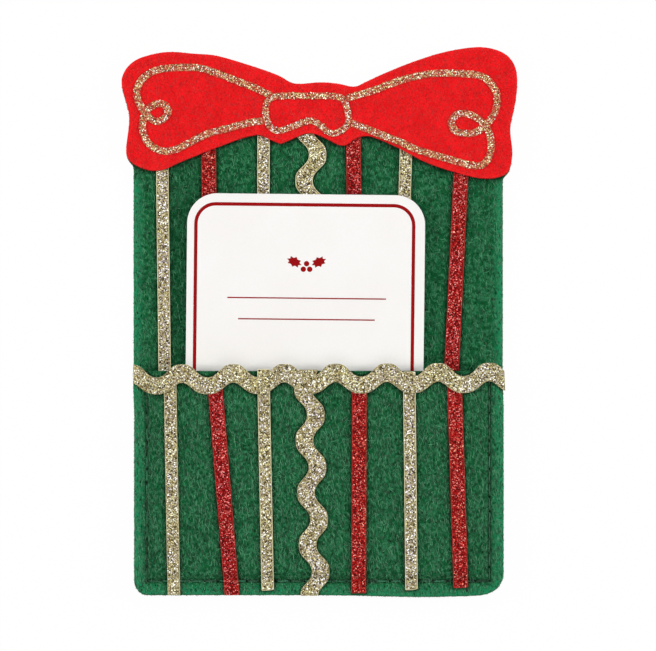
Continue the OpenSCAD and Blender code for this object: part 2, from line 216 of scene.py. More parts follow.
# 1 for rays that should see a white background, 0 for those that light the object
def backgroundRays(tree):
    lightPath = addNode(tree, "ShaderNodeLightPath")
    seen = addMath(tree, "MAXIMUM", lightPath.outputs["Is Camera Ray"], lightPath.outputs["Is Glossy Ray"])
    return addMath(tree, "MAXIMUM", seen, lightPath.outputs["Is Transmission Ray"])


def linear(r, g, b):
    return tuple(round((c / 255 / 12.92) if c < 10.3 else ((c / 255 + 0.055) / 1.055) ** 2.4, 4)
                 for c in (r, g, b)) + (1.0,)


# camera, straight above the middle of the picture
cameraView = {"centre": (1.93 * mm, -1.06 * mm), "height": 1.504, "width": 148.8 * mm, "widthAt": 4 * mm,
              "sensor": 36.0, "farEnd": 20}
cameraData = bpy.data.cameras.new("camera")
cameraData.sensor_width = cameraView["sensor"]
cameraData.lens = cameraView["sensor"] * (cameraView["height"] - cameraView["widthAt"]) / cameraView["width"]
cameraData.clip_end = cameraView["farEnd"]
camera = newObject("camera", cameraData)
camera.location = (*cameraView["centre"], cameraView["height"])
bpy.context.scene.camera = camera
bpy.context.scene.view_settings.view_transform = "Standard"

# soft light from both sides and from above the top edge
lampSettings = {
    "leftWindow": {"place": (-0.9, 0.15, 0.6), "size": 0.45, "power": 4.9},
    "rightWindow": {"place": (0.9, 0.1, 0.6), "size": 0.45, "power": 5.0},
    "topWindow": {"place": (0.0, 0.9, 0.9), "size": 0.7, "power": 3.6},
    "lowWindow": {"place": (0.0, -0.8, 1.1), "size": 0.8, "power": 1.6},
}
for name, lamp in lampSettings.items():
    light = bpy.data.lights.new(name, "AREA")
    light.size = lamp["size"]
    light.energy = lamp["power"]
    lampObject = newObject(name, light)
    lampObject.location = lamp["place"]
    lampObject.rotation_mode = "QUATERNION"
    lampObject.rotation_quaternion = (-Vector(lamp["place"])).to_track_quat("-Z", "Y")

# the background is white to the camera and in reflections, and lights the object less
worldLight = 0.36
world = bpy.data.worlds.new("studio")
bpy.context.scene.world = world
world.use_nodes = True
tree = world.node_tree
shine = addNode(tree, "ShaderNodeBackground", {"Color": (1, 1, 1, 1), "Strength": worldLight})
plain = addNode(tree, "ShaderNodeBackground", {"Color": (1, 1, 1, 1), "Strength": 1.0})
seen = backgroundRays(tree)
blend = addNode(tree, "ShaderNodeMixShader", {0: seen, 1: shine.outputs[0], 2: plain.outputs[0]})
tree.links.new(blend.outputs[0], tree.nodes["World Output"].inputs["Surface"])

floorSettings = {
    "size": 6.0, "drop": 0.1 * mm, "whiteness": 0.97,
    "sockets": {"Base Color": (0.92, 0.92, 0.91, 1), "Roughness": 0.9, "Specular IOR Level": 0.1},
}
bpy.ops.mesh.primitive_plane_add(size=floorSettings["size"], location=(0, 0, -floorSettings["drop"]))
floor = bpy.context.object
floor.name = "floor"
material, tree, shader = newMaterial("whitePaper")
finishShader(tree, shader, floorSettings["sockets"])
seen = addMath(tree, "MULTIPLY", backgroundRays(tree), floorSettings["whiteness"])
white = addNode(tree, "ShaderNodeEmission", {"Color": (1, 1, 1, 1), "Strength": 1.0})
blend = addNode(tree, "ShaderNodeMixShader", {0: seen, 1: shader.outputs[0], 2: white.outputs[0]})
tree.links.new(blend.outputs[0], tree.nodes["Material Output"].inputs["Surface"])
floor.data.materials.append(material)
print("camera, light and floor")


# the seam, as the frame has it: down the left, along the bottom and up the right
seam = {"x0": -39.15 * mm, "x1": 38.55 * mm, "y": -59.05 * mm, "mouth": -11.35 * mm, "pitch": 3.2 * mm,
        "gap": 0.6 * mm, "inset": 3.1 * mm, "faceSlope": 0.3, "mouthReach": 0.4 * mm}
seamRuns = [
    ((seam["x0"], seam["mouth"]), (seam["x0"], seam["y"])),
    ((seam["x0"], seam["y"]), (seam["x1"], seam["y"])),
    ((seam["x1"], seam["mouth"]), (seam["x1"], seam["y"])),
]


# the dark crease along the seam, deepest at the holes between the stitches
def seamShade(tree, place, look):
    wander = addNoise(tree, place, 1 / look["wanderSize"]).outputs["Fac"]
    wander = addMath(tree, "MULTIPLY", addMath(tree, "SUBTRACT", wander, 0.5), look["wander"])
    spread = addNoise(tree, place, 1 / look["spreadSize"]).outputs["Fac"]
    axes = addNode(tree, "ShaderNodeSeparateXYZ", {0: place})
    shade = None
    for (ax, ay), (bx, by) in seamRuns:
        upright = ax == bx
        across, along = axes.outputs[0 if upright else 1], axes.outputs[1 if upright else 0]
        level, first, last = (ax, by, ay) if upright else (ay, ax, bx)
        off = addMath(tree, "ADD", addMath(tree, "SUBTRACT", across, level), wander)
        off = addMath(tree, "ABSOLUTE", off)
        step = (last - first) / round((last - first) / seam["pitch"])
        hole = addMath(tree, "PINGPONG", addMath(tree, "SUBTRACT", along, first), step / 2)
        hole = addMath(tree, "MULTIPLY", addRange(tree, hole, *look["holeLength"], 1.0, 0.0),
                       addRange(tree, off, *look["holeWidth"], 1.0, 0.0))
        line = addRange(tree, off, look["core"], look["core"] + look["fade"], 1.0, 0.0)
        line = addMath(tree, "MULTIPLY", line, addRange(tree, spread, *look["spread"], look["least"], 1.0))
        inRun = addMath(tree, "MULTIPLY", addMath(tree, "GREATER_THAN", along, first - look["overrun"]),
                        addMath(tree, "LESS_THAN", along, last))
        run = addMath(tree, "MULTIPLY", addMath(tree, "MAXIMUM", line, hole), inRun)
        shade = run if shade is None else addMath(tree, "MAXIMUM", shade, run)
    return shade


# felt: short strands that cross each other, dark pits between them, and a painted highlight along the cut
# edges, where the side light catches them
def feltMaterial(name, look):
    material, tree, shader = newMaterial(name)
    place = addPlace(tree)
    drift = addNoise(tree, place, 1 / look["driftSize"]).outputs["Color"]
    drift = addVector(tree, "SUBTRACT", {0: drift, 1: (0.5, 0.5, 0.5)})
    drift = addVector(tree, "SCALE", {0: drift, "Scale": look["drift"]})
    curled = addVector(tree, "ADD", {0: place, 1: drift})
    strands = None
    for turn, length, width in look["strands"]:
        wave = addNoise(tree, addStretch(tree, curled, (length, width, width), turn), 1.0, 1.0).outputs["Fac"]
        ridge = addMath(tree, "ABSOLUTE", addMath(tree, "SUBTRACT", wave, 0.5))
        ridge = addRange(tree, ridge, 0.0, look["strandEdge"], 1.0, 0.0)
        strands = ridge if strands is None else addMath(tree, "MAXIMUM", strands, ridge)
    breaks = addNoise(tree, place, 1 / look["breakSize"]).outputs["Fac"]
    strands = addMath(tree, "MULTIPLY", strands, addRange(tree, breaks, *look["breakRange"]))
    pits = addNoise(tree, addStretch(tree, curled, look["pitSize"]), 1.0).outputs["Fac"]
    pits = addRange(tree, pits, *look["pitRange"])
    mottle = addNoise(tree, addStretch(tree, place, look["mottleSize"]), 1.0, 3.0).outputs["Fac"]
    colour = addMix(tree, addRange(tree, mottle, *look["mottleRange"]), look["deep"], look["body"])
    # painted highlight along the cut edges
    rim = addMath(tree, "MULTIPLY", addMark(tree, "rim"), look["rimHighlightShare"])
    colour = addMix(tree, rim, colour, look["rim"])
    colour = addMix(tree, addMath(tree, "MULTIPLY", pits, look["pitShare"]), colour, look["pit"])
    # the paler strands: lighter fibres, their whitish tone partly a painted sheen
    colour = addMix(tree, addMath(tree, "MULTIPLY", strands, look["strandShare"]), colour, look["pale"])
    # painted shade, mixed in with the pit colour: round the glued strips and the bow, and beside the card
    wet = addMath(tree, "MULTIPLY", addMark(tree, "wet"), look["paintedShadeShare"])
    colour = addMix(tree, wet, colour, look["pit"])
    if look["seam"]:
        shade = seamShade(tree, place, look["seam"])
        colour = addMix(tree, addMath(tree, "MULTIPLY", shade, look["seam"]["share"]), colour, look["pit"])
    tree.links.new(colour, shader.inputs["Base Color"])
    height = addMath(tree, "SUBTRACT", strands, addMath(tree, "MULTIPLY", pits, look["pitDepth"]))
    sockets = {**look["sockets"], "Sheen Weight": look["sheen"], "Sheen Tint": look["pale"]}
    finishShader(tree, shader, sockets, height, look["bump"], look["relief"])
    return material


# strands: turn in degrees, length and width
feltGrain = {
    "strands": [(97, 2.2 * mm, 0.26 * mm), (84, 1.9 * mm, 0.25 * mm), (112, 1.7 * mm, 0.27 * mm),
                (50, 1.4 * mm, 0.3 * mm)],
    "strandEdge": 0.05, "driftSize": 1.6 * mm, "breakRange": (0.4, 0.6), "pitRange": (0.52, 0.7),
    "mottleRange": (0.32, 0.68), "pitDepth": 0.8, "bump": 0.7,
    "sockets": {"Roughness": 0.93, "Specular IOR Level": 0.12, "Sheen Roughness": 0.55},
}
# rim: the colour of the painted highlight along the cut edges, in this felt and the red one
greenFelt = feltMaterial("greenFelt", {
    **feltGrain,
    "deep": linear(6, 75, 39), "body": linear(9, 90, 47), "pale": linear(69, 154, 105),
    "pit": linear(2, 22, 10), "rim": linear(37, 152, 102),
    "drift": 0.6 * mm, "breakSize": 0.8 * mm, "pitSize": (0.25 * mm, 0.75 * mm, 0.4 * mm),
    "mottleSize": (1.5 * mm, 3.6 * mm, 2.0 * mm), "pitShare": 1.0, "strandShare": 0.85,
    # the last share is how strongly the painted shade darkens the felt round what is glued on it and beside
    # the card
    "rimHighlightShare": 0.85, "paintedShadeShare": 0.95, "relief": 0.2 * mm, "sheen": 0.08,
    "seam": {"wander": 0.5 * mm, "wanderSize": 2.5 * mm, "spread": (0.3, 0.6), "spreadSize": 2.2 * mm,
             "core": 0.08 * mm, "fade": 0.42 * mm, "least": 0.3, "overrun": 0.2 * mm,
             "holeLength": (0.1 * mm, 0.45 * mm), "holeWidth": (0.12 * mm, 0.42 * mm), "share": 0.85},
})
redFelt = feltMaterial("redFelt", {
    **feltGrain,
    "deep": linear(230, 18, 23), "body": linear(246, 22, 28), "pale": linear(252, 56, 52),
    "pit": linear(184, 8, 16), "rim": linear(250, 44, 44),
    "drift": 1.1 * mm, "breakSize": 0.9 * mm, "pitSize": (0.32 * mm, 0.46 * mm, 0.4 * mm),
    "mottleSize": (2.6 * mm, 3.4 * mm, 3.0 * mm), "pitShare": 0.6, "strandShare": 0.35,
    "rimHighlightShare": 0.5, "paintedShadeShare": 0.0, "relief": 0.08 * mm, "sheen": 0.02, "seam": None,
})


# the painted highlight of the rim, where side light catches the cut edge: strongest at the cut side and gone
# at a width from it
rimHighlightMark = {"sideSlope": 0.45, "sideShare": 0.35}


def markRimHighlight(obj, width, below=1.0):
    points, normals = readPoints(obj), readNormals(obj)
    slope = np.abs(normals[:, 2])
    sides = points[(slope < rimHighlightMark["sideSlope"]) & (points[:, 1] < below)]
    near = np.clip(1 - awayFrom(flatTree(sides), points) / width, 0, 1)
    writeMark(obj, "rim", near * (rimHighlightMark["sideShare"] + (1 - rimHighlightMark["sideShare"]) * slope))


# the outline of triangles seen from above, as a tree of spots along it
outlineSpots = {"weld": 0.004 * mm, "step": 0.1 * mm}


def outlineTree(triangles):
    keys = np.rint(triangles[:, :, :2] / outlineSpots["weld"]).astype(np.int64)
    edges = {}
    for corners, face in zip(triangles, keys):
        for i in range(3):
            j = (i + 1) % 3
            a, b = tuple(face[i]), tuple(face[j])
            edges.setdefault((min(a, b), max(a, b)), []).append((corners[i], corners[j]))
    spots = []
    for held in edges.values():
        if len(held) == 1:
            a, b = held[0]
            steps = max(1, int(np.linalg.norm(b - a) / outlineSpots["step"]))
            spots += [a + (b - a) * k / steps for k in range(steps + 1)]
    return flatTree(spots)


# the faces of the named sheets that look up
lookUp = 0.5


def topOf(names):
    triangles = np.concatenate([readTriangles(stripCopies.get(n, nodes[n])) for n in names])
    cross = np.cross(triangles[:, 1] - triangles[:, 0], triangles[:, 2] - triangles[:, 0])
    return triangles[cross[:, 2] > lookUp * np.linalg.norm(cross, axis=1)]


# painted shade: darker felt round what is glued on it, where it shades the felt, and a painted shadow of the
# card in a band beside it
def markPaintedShade(obj, names, width, band=None):
    points = readPoints(obj)
    share = np.clip(1 - awayFrom(outlineTree(topOf(names)), points) / width, 0, 1)
    if band:
        inside = np.minimum(points[:, 0] - band["x"][0], band["x"][1] - points[:, 0])
        share = np.maximum(share, band["share"] * np.clip(inside / band["fade"], 0, 1))
    writeMark(obj, "wet", share)


# a felt sheet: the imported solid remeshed, softened and made a little uneven
def softenNode(node, name, look):
    obj = copyOfNode(node, name)
    applyModifier(obj, "REMESH", mode="VOXEL", voxel_size=look["voxel"], adaptivity=0)
    applyModifier(obj, "SMOOTH", factor=0.5, iterations=look["rounds"])
    fluff = bpy.data.textures.new(name + "Fluff", "CLOUDS")
    fluff.noise_scale = look["fluffSize"]
    applyModifier(obj, "DISPLACE", texture=fluff, strength=look["fluff"], mid_level=0.5,
                  texture_coords="LOCAL")
    return obj


backStrips = ["back_gold_strip_1", "back_red_strip_1", "back_gold_strip_2", "back_ricrac", "back_red_strip_2",
              "back_gold_strip_3", "back_red_strip_3"]
pocketStrips = [n.replace("back", "pocket") for n in backStrips]
# three strips end above the ric-rac at the mouth, where they show in its valleys
stripTips = {"pocket_gold_strip_2": (0.0, -10.95 * mm), "pocket_ricrac": (0.8 * mm, -11.05 * mm),
             "pocket_gold_strip_3": (0.0, -11.5 * mm)}
stripCopies = {}
for name in backStrips + pocketStrips + ["mouth_ricrac"]:
    first, *rest = name.split("_")
    stripCopies[name] = copyOfNode(name, first + "".join(word.title() for word in rest))
    if name in stripTips:
        shift, height = stripTips[name]
        points = readPoints(stripCopies[name])
        isTip = points[:, 1] > points[:, 1].max() - 0.1 * mm
        points[isTip, 1] = height
        points[isTip, 0] += shift
        writePoints(stripCopies[name], points)


# the felt swells between its edge and the seam, and dips along the stitches
def pressSeam(obj, side, look):
    points = readPoints(obj)
    x0, x1, y0 = seam["x0"] - seam["inset"], seam["x1"] + seam["inset"], seam["y"] - seam["inset"]
    inside = np.minimum(np.minimum(points[:, 0] - x0, x1 - points[:, 0]), points[:, 1] - y0)
    facing = readNormals(obj)[:, 2] * side > seam["faceSlope"]
    facing &= points[:, 1] < seam["mouth"] + seam["mouthReach"]
    puff = look["puff"] * np.sin(math.pi * np.clip(inside / seam["inset"], 0, 1))
    dent = look["dent"] * np.exp(-(((inside - seam["inset"]) / look["dentWidth"]) ** 2))
    points[facing, 2] += side * (puff - dent)[facing]
    writePoints(obj, points)


# small departures of the outline, cut by hand
def cutByHand(obj, look):
    points = readPoints(obj)
    low = np.clip((look["leftFrom"] - points[:, 1]) / look["leftFade"], 0, 1)
    left = np.clip(1 - (points[:, 0] - look["leftEdge"]) / look["reach"], 0, 1)
    right = np.clip(1 - (look["rightEdge"] - points[:, 0]) / look["reach"], 0, 1)
    points[:, 0] += (look["leftIn"] * left + look["rightOut"] * right) * low
    bulge = sum(size * np.exp(-(((points[:, 0] - at) / wide) ** 2)) for size, at, wide in look["bulges"])
    foot = np.clip(1 - (points[:, 1] - look["lowEdge"]) / look["reach"], 0, 1)
    points[:, 1] -= (bulge + look["lower"]) * foot
    writePoints(obj, points)


handCut = {"leftFrom": -15 * mm, "leftFade": 5 * mm, "leftEdge": -42.25 * mm, "leftIn": 0.2 * mm,
           "rightEdge": 41.65 * mm, "rightOut": 0.12 * mm, "reach": 2.2 * mm,
           "bulges": [(0.42 * mm, 23 * mm, 13 * mm), (-0.25 * mm, 39 * mm, 3 * mm)],
           "lowEdge": -62.15 * mm, "lower": 0.1 * mm}

# the back sheet's painted shade lies this wide round the strips and the bow, and the card's painted shadow
# lies in a band beside the card
backSheet = {"voxel": 0.5 * mm, "rounds": 3, "fluffSize": 0.8 * mm, "fluff": 0.1 * mm,
             "puff": 0.0, "dent": 0.12 * mm, "dentWidth": 0.5 * mm, "lowest": 0.01 * mm,
             "rim": 2.4 * mm, "rimHighlightBelow": 31 * mm, "wet": 0.7 * mm,
             "band": {"x": (-34.2 * mm, -28 * mm), "share": 0.22, "fade": 0.6 * mm}}
greenBack = softenNode("back_panel", "greenBack", backSheet)
pressSeam(greenBack, -1, backSheet)
cutByHand(greenBack, handCut)
backPoints = readPoints(greenBack)
backPoints[:, 2] = np.maximum(backPoints[:, 2], backSheet["lowest"])  # it lies on the floor
writePoints(greenBack, backPoints)
markRimHighlight(greenBack, backSheet["rim"], backSheet["rimHighlightBelow"])
markPaintedShade(greenBack, backStrips + ["bow"], backSheet["wet"], backSheet["band"])
finishPiece(greenBack, greenFelt, replaces=["back_panel"])

# the pocket sheet's painted shade lies this wide round its strips and the ric-rac
pocketSheet = {"voxel": 0.36 * mm, "rounds": 4, "fluffSize": 0.7 * mm, "fluff": 0.1 * mm,
               "puff": 0.22 * mm, "dent": 0.4 * mm, "dentWidth": 0.4 * mm,
               "rim": 3.0 * mm, "rimHighlightBelow": seam["mouth"] - 1.5 * mm, "wet": 0.7 * mm}
greenPocket = softenNode("pocket_panel", "greenPocket", pocketSheet)
pressSeam(greenPocket, 1, pocketSheet)
cutByHand(greenPocket, handCut)
markRimHighlight(greenPocket, pocketSheet["rim"], pocketSheet["rimHighlightBelow"])
markPaintedShade(greenPocket, pocketStrips + ["mouth_ricrac"], pocketSheet["wet"])
finishPiece(greenPocket, greenFelt, replaces=["pocket_panel"])

bowSheet = {"voxel": 0.3 * mm, "rounds": 4, "fluffSize": 0.6 * mm, "fluff": 0.06 * mm, "rim": 0.8 * mm}
redBow = softenNode("bow", "redBow", bowSheet)
markRimHighlight(redBow, bowSheet["rim"])
finishPiece(redBow, redFelt, replaces=["bow"])


# many copies of one modelled shape in one mesh, each with a cell of its own in the UV map
def meshOfCopies(name, shape, points, colours):
    count, size = points.shape[:2]
    mesh = bpy.data.meshes.new(name)
    mesh.vertices.add(count * size)
    mesh.vertices.foreach_set("co", points.ravel())
    corners = (shape["corners"][None, :] + np.arange(count)[:, None] * size).ravel()
    mesh.loops.add(len(corners))
    mesh.loops.foreach_set("vertex_index", corners)
    sizes = np.tile(shape["sizes"], count)
    mesh.polygons.add(len(sizes))
    mesh.polygons.foreach_set("loop_start", np.concatenate([[0], np.cumsum(sizes)[:-1]]).astype(np.int32))
    mesh.update(calc_edges=True)
    across = math.ceil(math.sqrt(count))
    cell = np.stack([np.arange(count) % across, np.arange(count) // across], 1)
    flat = mesh.uv_layers.new(name="OFBake")
    cellEdge = 0.08
    places = cell[:, None, :] + cellEdge + (1 - 2 * cellEdge) * shape["flat"][None, :, :]
    flat.data.foreach_set("uv", (places / across).ravel())
    tone = mesh.color_attributes.new("tone", "FLOAT_COLOR", "POINT")
    tone.data.foreach_set("color", np.repeat(colours, size, axis=0).ravel())
    mesh.validate()
    return newObject(name, mesh)


# what is copied: points, faces and the place of each corner in the cell
def shapeOf(obj, lay):
    mesh = obj.data
    shape = {
        "points": readPoints(obj),
        "corners": np.array([l.vertex_index for l in mesh.loops], np.int32),
        "sizes": np.array([len(p.vertices) for p in mesh.polygons], np.int32),
    }
    flat = [lay(mesh.vertices[i].co, p) for p in mesh.polygons for i in p.vertices]
    shape["flat"] = np.clip(np.array(flat), 0, 1)
    bpy.data.objects.remove(obj)
    return shape


# random spots on triangles, by area, where accept says so
def pickSpots(triangles, count, rng, accept):
    cross = np.cross(triangles[:, 1] - triangles[:, 0], triangles[:, 2] - triangles[:, 0])
    area = np.linalg.norm(cross, axis=1) / 2
    normals = cross / np.maximum(2 * area[:, None], 1e-15)
    weight = area * accept(normals)
    chosen = rng.choice(len(weight), count, p=weight / weight.sum())
    a, b = rng.random(count), rng.random(count)
    a, b = np.where(a + b > 1, 1 - a, a), np.where(a + b > 1, 1 - b, b)
    t = triangles[chosen]
    return t[:, 0] + a[:, None] * (t[:, 1] - t[:, 0]) + b[:, None] * (t[:, 2] - t[:, 0]), normals[chosen]


# spots with none of the covering nodes above them, looked for from a little over each spot
coverSearch = {"from": 0.15 * mm, "reach": 1}


def isOpen(spots, covers):
    over = treeOf([nodes[n] for n in covers])
    start, up = Vector((0, 0, coverSearch["from"])), Vector((0, 0, 1))
    return np.array([over.ray_cast(Vector(p) + start, up, coverSearch["reach"])[0] is None for p in spots])


noiseRange = (0.3, 0.7)  # the span that most of a noise's values fill


def toneMaterial(name, look):
    material, tree, shader = newMaterial(name)
    tone = addMark(tree, "tone", "Color")
    shade = addNoise(tree, addPlace(tree), 1 / look["shadeSize"]).outputs["Fac"]
    shade = addRange(tree, shade, *noiseRange)
    dark = addVector(tree, "SCALE", {0: tone, "Scale": look["shade"]})
    tree.links.new(addMix(tree, shade, dark, tone), shader.inputs["Base Color"])
    finishShader(tree, shader, look["sockets"])
    return material


# loose fibres: one thin three-sided strand, laid many times over the felt and along its cut edges
bpy.ops.mesh.primitive_cylinder_add(vertices=3, radius=1, depth=2, end_fill_type="NGON")
strandObject = bpy.context.object
editAll(strandObject)
bpy.ops.mesh.bisect(plane_co=(0, 0, 0), plane_no=(0, 0, 1))
backToObject()
fibreShape = shapeOf(strandObject,
                     lambda co, p: (co.z / 2 + 0.5, math.atan2(co.y, co.x) / math.tau + 0.5))
fuzzMaterial = toneMaterial("looseFibres", {
    "shadeSize": 1.5 * mm, "shade": 0.8,
    "sockets": {"Roughness": 0.8, "Specular IOR Level": 0.2, "Sheen Weight": 0.1},
})


def layFibres(name, felt, look, covers):
    rng = np.random.default_rng(look["seed"])
    triangles = readTriangles(felt)
    middles = triangles.mean(1)
    laid = (middles[:, 2] > look["above"]) & (middles[:, 1] < look["below"])
    spots, _ = pickSpots(triangles, look["count"] * 2, rng, lambda n: laid & (n[:, 2] > look["topSlope"]))
    spots = spots[isOpen(spots, covers)][:look["count"]]
    count = len(spots)
    turn = np.radians(np.where(rng.random(count) < look["combed"],
                               rng.normal(*look["combTurn"], count), rng.uniform(0, 180, count)))
    length = rng.uniform(*look["length"], count)
    radius = rng.uniform(*look["radius"], count)
    along = np.stack([np.cos(turn), np.sin(turn), np.zeros(count)], 1)
    side = np.stack([-np.sin(turn), np.cos(turn), np.zeros(count)], 1)
    t = np.array([-1, 0, 1])
    bend = rng.normal(0, look["bend"], count) * length
    line = (spots[:, None, :] + along[:, None, :] * (length[:, None] / 2 * t)[:, :, None]
            + side[:, None, :] * (bend[:, None] * (t ** 2 - look["bendShift"]))[:, :, None])
    ground, down = treeOf([felt]), Vector((0, 0, -1))
    onFelt = np.zeros(count, bool)
    for i in range(count):
        for share in (1.0, look["shorter"]):  # one that would leave the felt is tried shorter, then dropped
            spine = spots[i] + (line[i] - spots[i]) * share
            hits = [ground.ray_cast(Vector((x, y, look["rayFrom"])), down)[0] for x, y, _ in spine]
            if all(hit and abs(hit.z - spots[i, 2]) < look["highestStep"] for hit in hits):
                line[i, :, :2] = spine[:, :2]
                line[i, :, 2] = [hit.z for hit in hits]
                onFelt[i] = True
                break
    line, side, radius, spots = line[onFelt], side[onFelt], radius[onFelt], spots[onFelt]
    count = len(spots)
    lift = rng.uniform(*look["lift"], count)
    line[:, :, 2] += lift[:, None] * (1 - t ** 2) - radius[:, None] * look["endSink"] * np.abs(t) ** 3
    up = np.broadcast_to(np.array([0.0, 0.0, 1.0]), side.shape)

    # shorter ones along the cut edge
    edge, out = pickSpots(triangles, look["edgeCount"], rng,
                          lambda n: laid & (np.abs(n[:, 2]) < look["topSlope"]))
    swing = rng.normal(0, look["edgeSwing"], (look["edgeCount"], 3))
    out = out * look["edgeOut"] + swing - out * (out * swing).sum(1)[:, None]
    out /= np.linalg.norm(out, axis=1)[:, None]
    reach = rng.uniform(*look["edgeLength"], look["edgeCount"])
    drop = rng.normal(0, look["edgeBend"], (look["edgeCount"], 3))
    s = (t + 1) / 2
    edgeLine = (edge[:, None, :] + out[:, None, :] * (reach[:, None] * (s - 0.5))[:, :, None]
                + drop[:, None, :] * (reach[:, None] * s ** 2)[:, :, None])
    edgeSide = np.cross(out, (0.0, 0.0, 1.0))
    edgeSide /= np.maximum(np.linalg.norm(edgeSide, axis=1), 1e-6)[:, None]
    line = np.concatenate([line, edgeLine])
    side = np.concatenate([side, edgeSide])
    up = np.concatenate([up, np.cross(edgeSide, out)])
    edgeRadius = rng.uniform(*look["radius"], look["edgeCount"]) * look["edgeThin"]
    radius = np.concatenate([radius, edgeRadius])

    shape = fibreShape["points"]
    ring = np.rint(shape[:, 2] + 1).astype(int)
    thin = (1 - look["tipThin"] * np.abs(t) ** 3)[ring]
    points = (line[:, ring, :]
              + side[:, None, :] * (radius[:, None] * (shape[:, 0] * thin)[None, :])[:, :, None]
              + up[:, None, :] * (radius[:, None] * (shape[:, 1] * thin)[None, :])[:, :, None])
    points[:, :, 2] = np.maximum(points[:, :, 2], look["lowest"])
    share = rng.beta(*look["paleness"], len(points))[:, None]
    colours = np.array(look["dim"]) * (1 - share) + np.array(look["bright"]) * share
    return meshOfCopies(name, fibreShape, points, colours)


# above, below: felt over that height and under that line has fibres
# combTurn: middle and spread of the combed strands' turn, in degrees
fuzz = {"below": 1.0, "topSlope": 0.5, "combTurn": (97, 15), "bendShift": 0.4, "rayFrom": 30 * mm,
        "lift": (0.0, 0.06 * mm), "endSink": 0.5, "shorter": 0.4, "highestStep": 0.7 * mm,
        "lowest": 0.02 * mm, "tipThin": 0.6, "edgeSwing": 0.7, "edgeOut": 0.12, "edgeBend": 0.08,
        "edgeThin": 0.8}
# bright: the palest loose fibres, their whitish tone partly a painted sheen
greenFuzz = {**fuzz, "dim": linear(4, 38, 19), "bright": linear(112, 190, 142), "paleness": (0.5, 0.75),
             "combed": 0.8, "length": (0.8 * mm, 2.1 * mm), "bend": 0.08,
             "radius": (0.045 * mm, 0.075 * mm), "edgeLength": (0.3 * mm, 0.8 * mm)}
backFuzz = layFibres("backFuzz", greenBack,
                     {**greenFuzz, "count": 7600, "edgeCount": 3000, "seed": 11, "above": 0.3 * mm},
                     backStrips + ["bow", "pocket_panel"])
finishPiece(backFuzz, fuzzMaterial)
pocketFuzz = layFibres("pocketFuzz", greenPocket,
                       {**greenFuzz, "count": 11500, "edgeCount": 2200, "seed": 12, "above": 2.4 * mm,
                        "below": seam["mouth"] - 0.3 * mm},
                       pocketStrips + ["mouth_ricrac"])
finishPiece(pocketFuzz, fuzzMaterial)
redFuzz = {**fuzz, "dim": linear(206, 18, 24), "bright": linear(254, 84, 78), "paleness": (1.0, 2.0),
           "combed": 0.3, "length": (0.7 * mm, 2.0 * mm), "bend": 0.13,
           "radius": (0.02 * mm, 0.04 * mm), "edgeLength": (0.2 * mm, 0.5 * mm)}
bowLines = ["bow_line_left", "bow_line_knot", "bow_line_right"]
bowFuzz = layFibres("bowFuzz", redBow,
                    {**redFuzz, "count": 3000, "edgeCount": 900, "seed": 13, "above": 2.3 * mm}, bowLines)
finishPiece(bowFuzz, fuzzMaterial)


# glitter: one bevelled flake, sprinkled over each sheet a little way in from its cut edge
flake = {"sides": 6, "taper": 0.8, "depth": 0.22, "breadth": 0.86}
bpy.ops.mesh.primitive_cone_add(vertices=flake["sides"], radius1=1, radius2=flake["taper"],
                                depth=flake["depth"], end_fill_type="NGON")
flakeObject = bpy.context.object
editAll(flakeObject)
bpy.ops.transform.resize(value=(1.0, flake["breadth"], 1.0))
backToObject()
hiddenRow, shownFrom = 0.08, 0.12  # the hidden face gets a thin row of its cell


def layFlake(co, face):
    across, along = co.x / 2 + 0.5, co.y / 2 + 0.5
    isHidden = face.normal.z < -0.5
    return across, (hiddenRow * along if isHidden else shownFrom + (1 - shownFrom) * along)


flakeShape = shapeOf(flakeObject, layFlake)
flakeMaterial = toneMaterial("glitterFlakes", {
    "shadeSize": 0.3 * mm, "shade": 0.82,
    "sockets": {"Metallic": 0.85, "Roughness": 0.34, "Specular IOR Level": 0.5},
})


def sprinkle(name, sheets, look, covers=()):
    rng = np.random.default_rng(look["seed"])
    top = topOf(sheets)
    area = np.linalg.norm(np.cross(top[:, 1] - top[:, 0], top[:, 2] - top[:, 0]), axis=1).sum() / 2
    spots, normals = pickSpots(top, int(area * look["perArea"]), rng, lambda n: 1.0)
    inner = awayFrom(outlineTree(top), spots) > rng.uniform(*look["margin"], len(spots))
    spots, normals = spots[inner], normals[inner]
    if covers:
        seenFromAbove = isOpen(spots, covers)
        spots, normals = spots[seenFromAbove], normals[seenFromAbove]
    count = len(spots)
    tilt = rng.normal(0, math.radians(look["tilt"]), (count, 2))
    up = normals + np.concatenate([tilt, np.zeros((count, 1))], 1)
    up /= np.linalg.norm(up, axis=1)[:, None]
    turn = rng.uniform(0, math.tau, count)
    along = np.stack([np.cos(turn), np.sin(turn), np.zeros(count)], 1)
    side = np.cross(up, along)
    side /= np.linalg.norm(side, axis=1)[:, None]
    along = np.cross(side, up)
    size = rng.uniform(*look["size"], (count, 1))
    spots = spots + up * rng.uniform(*look["height"], (count, 1))
    shape = flakeShape["points"]
    points = (spots[:, None, :]
              + along[:, None, :] * (size * shape[:, 0])[:, :, None]
              + side[:, None, :] * (size * shape[:, 1])[:, :, None]
              + up[:, None, :] * (size * shape[:, 2])[:, :, None])
    shares = np.array([c[0] for c in look["colours"]])
    palette = np.array([c[1] for c in look["colours"]])
    colours = palette[rng.choice(len(palette), count, p=shares / shares.sum())]
    warmth = np.sin(spots[:, :1] / look["zone"] + look["seed"])
    warmth += np.sin(spots[:, 1:2] / look["zone"] * look["zoneSkew"])
    colours[:, :3] *= rng.uniform(*look["brightness"], (count, 1)) * (1 + warmth * look["warm"])
    colours = np.clip(colours, 0, 1)
    return meshOfCopies(name, flakeShape, points, colours)
